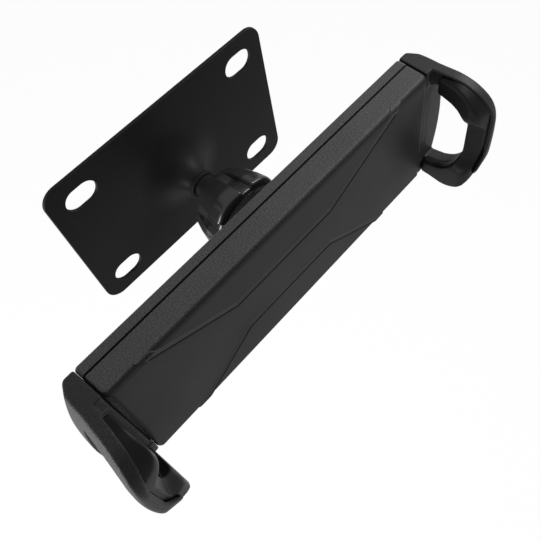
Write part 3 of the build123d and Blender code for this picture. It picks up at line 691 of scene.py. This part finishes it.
class OBJECT_OT_mount_housing(bpy.types.Operator):
    """Two covers of the holder, and the arms between them"""

    bl_idname = "wall_mount.housing"
    bl_label = "Holder Covers"

    def execute(self, context):
        # Dark colour for the painted shade in the seam and the painted shadow along the relief's
        # crest
        dark = shaded(colours().gloss, SEAM_PAINTED_SHADE)
        seam_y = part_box("front_cover")[1].y + SEAM_SHIFT * MM
        for node in ("rear_cover", "front_cover"):
            grained = new_material(
                "Grained Plastic " + node, colours().moulded, roughness=0.5, specular=0.05,
                gloss=0.04)
            grained_part = None
            if node == "front_cover":
                grained_part = finish_front(grained, dark)
            else:
                # Painted highlight: the rear cover's rounded edges are made lighter
                edges = edge_mask(grained, sharp=0.75, flat=0.95)
                tint(grained, edges, shaded(colours().moulded, REAR_EDGE_PAINTED_HIGHLIGHT))
            # Painted shade: a dark band where the covers meet, in their groove
            tint(grained, seam_mask(grained, seam_y, sizes().seam_shadow), dark)
            add_grain(grained, sizes().grain, depth=0.12 * MM, mask=grained_part)
            dress(grained, node)
        arm = new_material(
            "Arm Plastic", colours().moulded, roughness=0.5, specular=0.1, gloss=0.12)
        dress(arm, "left_arm", "right_arm")
        return {"FINISHED"}


class OBJECT_OT_mount_claws(bpy.types.Operator):
    """Claw shells and their rubber liners"""

    bl_idname = "wall_mount.claws"
    bl_label = "Claws"

    def execute(self, context):
        shell = new_material(
            "Claw Plastic", colours().shell, roughness=0.5, specular=0.08, gloss=0.04)
        # Painted shade: the shell's rounded edges are darkened
        edges = edge_mask(shell, sharp=0.78, flat=0.96)
        tint(shell, edges, shaded(colours().shell, SHELL_EDGE_PAINTED_SHADE))
        add_grain(shell, sizes().grain, depth=0.08 * MM)
        rubber = new_material(
            "Liner Rubber", colours().rubber, roughness=0.42, specular=0.06, gloss=0.04)
        # Painted light: the liner's faces that face along the holder are made lighter than its
        # other faces
        cheeks = cheek_mask(rubber, start=0.3, full=0.8)
        tint(rubber, cheeks, shaded(colours().rubber, CHEEK_PAINTED_LIGHT))
        for side, way in (("left", -1), ("right", 1)):
            claw = claw_piece(side + "_claw_shell", claw_shell, way)
            finish_piece(claw, side + "_slider", "claw", shell, side + "_claw")
            liner = claw_piece(side + "_claw_liner", claw_liner, way)
            finish_piece(liner, side + "_slider", "pad", rubber, side + "_pad")
        return {"FINISHED"}


class OBJECT_OT_mount_fasteners(bpy.types.Operator):
    """Screws, washer and springs"""

    bl_idname = "wall_mount.fasteners"
    bl_label = "Fasteners"

    def execute(self, context):
        zinc = new_material("Zinc Plate", colours().zinc, roughness=0.3, metallic=1.0)
        dress(zinc, "stud_washer", "stud_screw", "socket_screws", "cover_screws",
              "left_claw_screws", "right_claw_screws", "left_spring", "right_spring")
        return {"FINISHED"}


# Stage

def add_lamp(name, place, target, side, power):
    """A square area lamp aimed at a point."""
    lamp = bpy.data.lights.new(name, "AREA")
    lamp.shape = "RECTANGLE"
    lamp.size = lamp.size_y = side
    lamp.energy = power
    holder = bpy.data.objects.new(name, lamp)
    holder.location = place
    aim = Vector(target) - Vector(place)
    holder.rotation_euler = aim.to_track_quat("-Z", "Y").to_euler()
    bpy.context.scene.collection.objects.link(holder)


def show_white(tree, shader, plain, output, share):
    """Shows plain white in place of a shader to rays that see the backdrop."""
    rays = tree.nodes.new("ShaderNodeLightPath").outputs
    seen = rays["Is Camera Ray"]
    for other in ("Is Glossy Ray", "Is Transmission Ray"):
        seen = math_node(tree, "MAXIMUM", seen, rays[other])
    part = math_node(tree, "MULTIPLY", seen, share)
    mix = tree.nodes.new("ShaderNodeMixShader")
    tree.links.new(part, mix.inputs[0])
    tree.links.new(shader.outputs[0], mix.inputs[1])
    tree.links.new(plain.outputs[0], mix.inputs[2])
    tree.links.new(mix.outputs[0], output.inputs["Surface"])


def add_sky(scene):
    """Soft white light from all round, seen as plain white."""
    world = bpy.data.worlds.new("Studio")
    world.use_nodes = True
    scene.world = world
    nodes = world.node_tree.nodes
    sky = nodes["Background"]
    sky.inputs["Color"].default_value = WHITE
    sky.inputs["Strength"].default_value = SKY_STRENGTH
    plain = nodes.new("ShaderNodeBackground")
    plain.inputs["Color"].default_value = WHITE
    show_white(world.node_tree, sky, plain, nodes["World Output"], SKY_WHITE)


def add_floor():
    """A pale floor that looks almost plain white."""
    bpy.ops.mesh.primitive_plane_add(size=FLOOR_SIZE, location=(0, 0, -sizes().floor_drop))
    floor = bpy.context.object
    floor.name = "floor"
    pale = bpy.data.materials.new("Pale Floor")
    pale.use_nodes = True
    nodes = pale.node_tree.nodes
    shader = nodes["Principled BSDF"]
    shader.inputs["Base Color"].default_value = (*colours().backdrop, 1)
    shader.inputs["Roughness"].default_value = FLOOR_ROUGHNESS
    glow = nodes.new("ShaderNodeEmission")
    glow.inputs["Color"].default_value = WHITE
    show_white(pale.node_tree, shader, glow, nodes["Material Output"], FLOOR_WHITE)
    floor.data.materials.append(pale)


def add_camera(scene):
    """The camera that took the photograph, as solved from the plate and the housing."""
    camera = bpy.data.cameras.new("camera")
    camera.sensor_width = SENSOR_WIDTH
    camera.lens = FOCAL_LENGTH / IMAGE_SIZE * SENSOR_WIDTH
    camera.shift_x = -(OPTICAL_CENTRE[0] - IMAGE_SIZE / 2) / IMAGE_SIZE
    camera.shift_y = (OPTICAL_CENTRE[1] - IMAGE_SIZE / 2) / IMAGE_SIZE
    camera.clip_start, camera.clip_end = CAMERA_NEAR, CAMERA_FAR
    eye = bpy.data.objects.new("camera", camera)
    look = Vector(CAMERA_LOOK).normalized()
    right = look.cross(Vector(CAMERA_UP)).normalized()
    up = right.cross(look).normalized()
    turn = Matrix((right, up, -look)).transposed().to_4x4()
    eye.matrix_world = Matrix.Translation(CAMERA_PLACE) @ turn
    scene.collection.objects.link(eye)
    scene.camera = eye


class OBJECT_OT_mount_stage(bpy.types.Operator):
    """Pale floor, soft lamps and the camera"""

    bl_idname = "wall_mount.stage"
    bl_label = "Stage"

    def execute(self, context):
        context.scene.view_settings.view_transform = "Standard"
        add_sky(context.scene)
        add_floor()
        for lamp in LAMPS:
            add_lamp(*lamp)
        add_camera(context.scene)
        return {"FINISHED"}


class VIEW3D_PT_wall_mount(bpy.types.Panel):
    """Lists the mount's sizes, colours and pieces"""

    bl_label = "Wall Mount"
    bl_idname = "VIEW3D_PT_wall_mount"
    bl_space_type = "VIEW_3D"
    bl_region_type = "UI"
    bl_category = "Wall Mount"

    def draw(self, context):
        layout = self.layout
        for group in (context.scene.wall_mount_sizes, context.scene.wall_mount_colours):
            column = layout.column(align=True)
            for name in group.__annotations__:
                column.prop(group, name)
        for operator in OPERATORS:
            layout.operator(operator.bl_idname)


OPERATORS = (
    OBJECT_OT_mount_plate,
    OBJECT_OT_mount_joint,
    OBJECT_OT_mount_housing,
    OBJECT_OT_mount_claws,
    OBJECT_OT_mount_fasteners,
    OBJECT_OT_mount_stage,
)
CLASSES = (WallMountSizes, WallMountColours, *OPERATORS, VIEW3D_PT_wall_mount)


def register():
    for cls in CLASSES:
        bpy.utils.register_class(cls)
    bpy.types.Scene.wall_mount_sizes = bpy.props.PointerProperty(type=WallMountSizes)
    bpy.types.Scene.wall_mount_colours = bpy.props.PointerProperty(type=WallMountColours)


def unregister():
    del bpy.types.Scene.wall_mount_colours
    del bpy.types.Scene.wall_mount_sizes
    for cls in reversed(CLASSES):
        bpy.utils.unregister_class(cls)


def main():
    register()
    bpy.ops.wall_mount.plate()
    bpy.ops.wall_mount.joint()
    bpy.ops.wall_mount.housing()
    bpy.ops.wall_mount.claws()
    bpy.ops.wall_mount.fasteners()
    bpy.ops.wall_mount.stage()


if __name__ == "__main__":
    main()
